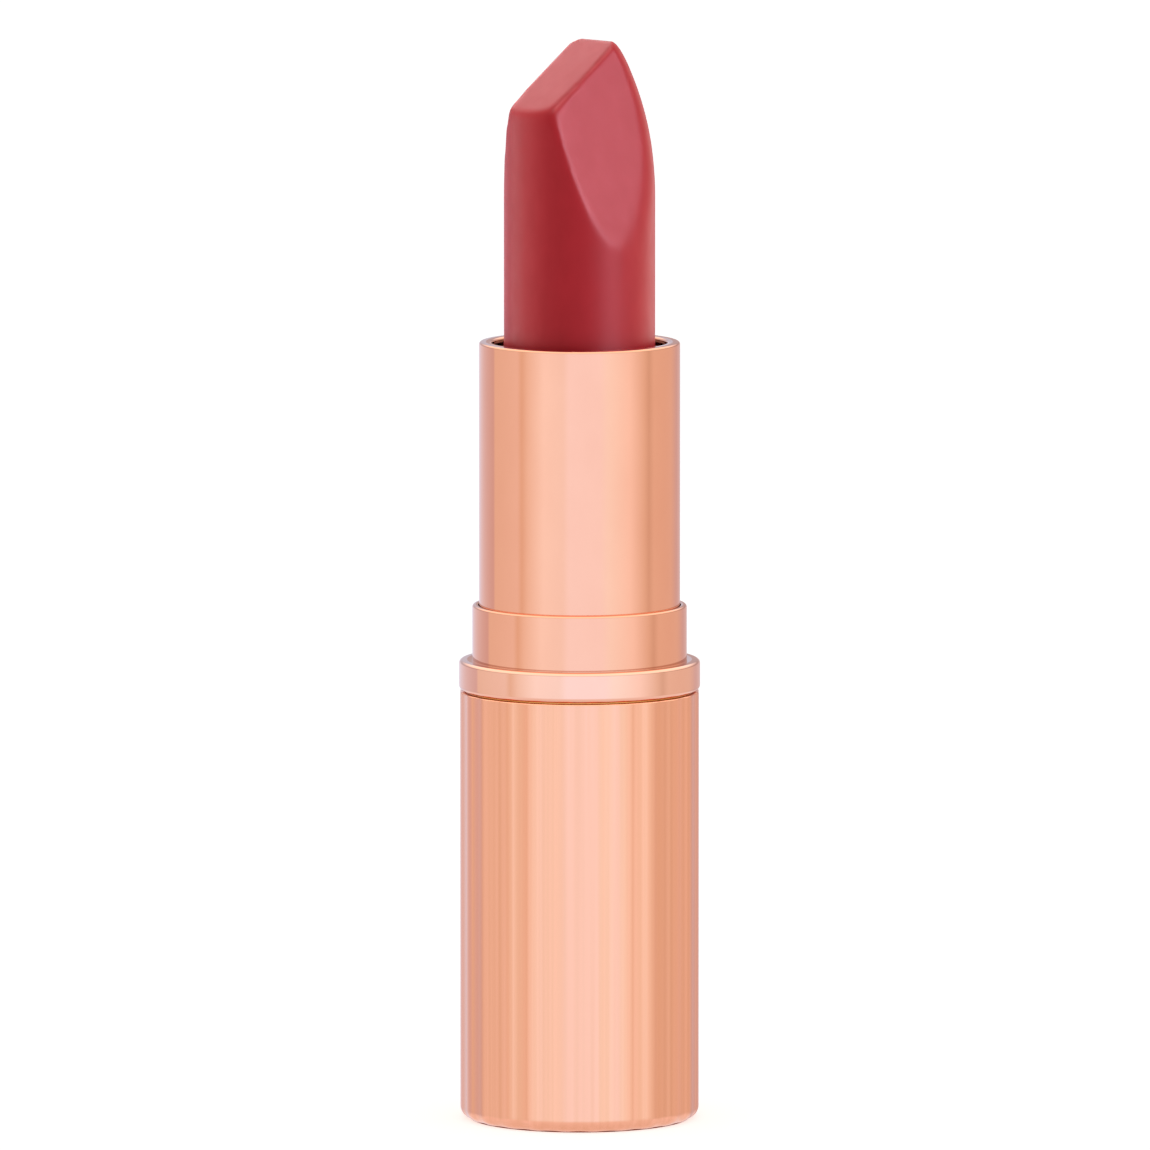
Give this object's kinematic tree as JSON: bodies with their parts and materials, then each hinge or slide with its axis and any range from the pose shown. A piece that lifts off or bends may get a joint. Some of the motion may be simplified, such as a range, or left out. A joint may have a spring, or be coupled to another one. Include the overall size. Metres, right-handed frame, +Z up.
{
  "type": "lipstick case",
  "caption": "Twist-up lipstick case with a fluted weighted base, a bright collar and turning tube, and a raised stick with a slanted faceted tip.",
  "frame": {"origin": "centre of the foot's standing face", "axes": "+Z up the case's axis towards the tip, -Y towards the front"},
  "size_m": [0.0202, 0.0202, 0.091],
  "materials": {
    "rose_gold_shell": "polished and anodised rose gold",
    "stick_wax": "satin wax",
    "brown_moulding": "fine moulded",
    "steel_slug": "turned",
    "soft_ring": "moulded",
    "blank_label": "satin film"
  },
  "bodies": {
    "base": {"base_shell": "rose_gold_shell", "base_liner": "brown_moulding", "base_weight": "steel_slug", "bottom_label": "blank_label", "shoulder_ring": "rose_gold_shell", "collar": "rose_gold_shell", "guide_bush": "brown_moulding", "slotted_tube": "brown_moulding", "brake_ring": "soft_ring"},
    "sleeve": {"tube_shell": "rose_gold_shell", "helix_sleeve": "brown_moulding"},
    "cup": {"stick_cup": "brown_moulding", "stick": "stick_wax"}
  },
  "joints": [
    {"name": "tube_twist", "type": "hinge", "parent": "base", "child": "sleeve", "pos_m": [0, 0, 0.045], "axis": [0, 0, 1], "range_deg": [0, 720]},
    {"name": "cup_lift", "type": "slide", "parent": "base", "child": "cup", "axis": [0, 0, 1], "range_m": [-0.0261, 0]}
  ],
  "couplings": [
    {"joint": "cup_lift", "follows": "tube_twist", "m_per_rad": -0.002069}
  ]
}
